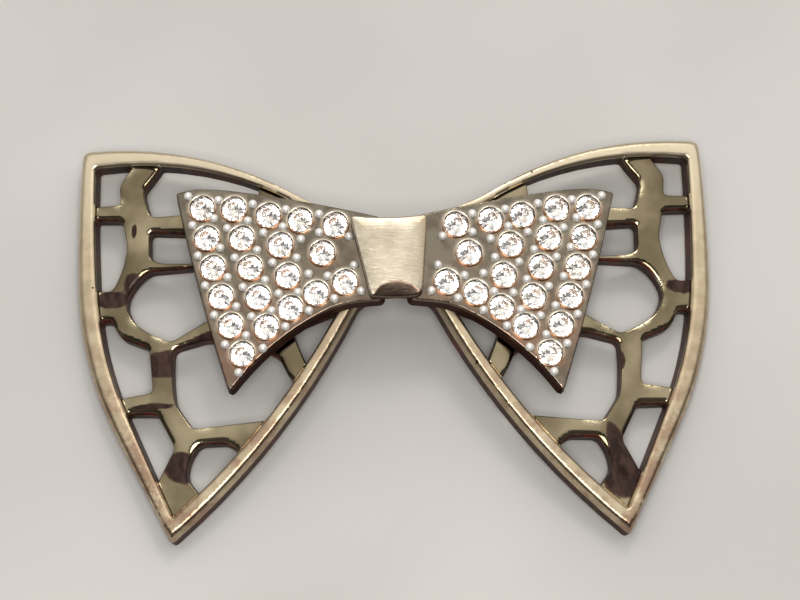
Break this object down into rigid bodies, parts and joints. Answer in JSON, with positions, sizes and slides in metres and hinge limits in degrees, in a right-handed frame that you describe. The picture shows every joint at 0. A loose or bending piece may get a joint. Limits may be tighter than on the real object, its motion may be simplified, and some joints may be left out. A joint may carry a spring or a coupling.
{
  "type": "bow brooch",
  "caption": "Bow-shaped brooch with openwork wings in raised rims, stone-set plates, a domed knot and a plain pin at the back.",
  "frame": {"origin": "middle of the bow's base, on the surface that it lies on, under the middle of its bounding box", "axes": "+X across the bow to its right wing as seen from the front, +Y up the bow from its tips to its top edge, +Z out of its face"},
  "size_m": [0.0638, 0.0408, 0.0108],
  "materials": {
    "wing_metal": "satin champagne plating",
    "plate_metal": "polished champagne plating",
    "knot_metal": "brushed champagne plating",
    "pin_metal": "polished champagne plating",
    "stone": "clear cut glass over foil"
  },
  "bodies": {
    "root": {"wing_left": "wing_metal", "wing_right": "wing_metal", "stone_plate_left": "plate_metal", "stone_plate_right": "plate_metal", "knot": "knot_metal", "pin_back": "pin_metal", "stone_left_01": "stone", "stone_left_02": "stone", "stone_left_03": "stone", "stone_left_04": "stone", "stone_left_05": "stone", "stone_left_06": "stone", "stone_left_07": "stone", "stone_left_08": "stone", "stone_left_09": "stone", "stone_left_10": "stone", "stone_left_11": "stone", "stone_left_12": "stone", "stone_left_13": "stone", "stone_left_14": "stone", "stone_left_15": "stone", "stone_left_16": "stone", "stone_left_17": "stone", "stone_left_18": "stone", "stone_left_19": "stone", "stone_left_20": "stone", "stone_right_01": "stone", "stone_right_02": "stone", "stone_right_03": "stone", "stone_right_04": "stone", "stone_right_05": "stone", "stone_right_06": "stone", "stone_right_07": "stone", "stone_right_08": "stone", "stone_right_09": "stone", "stone_right_10": "stone", "stone_right_11": "stone", "stone_right_12": "stone", "stone_right_13": "stone", "stone_right_14": "stone", "stone_right_15": "stone", "stone_right_16": "stone", "stone_right_17": "stone", "stone_right_18": "stone", "stone_right_19": "stone", "stone_right_20": "stone"}
  },
  "joints": []
}
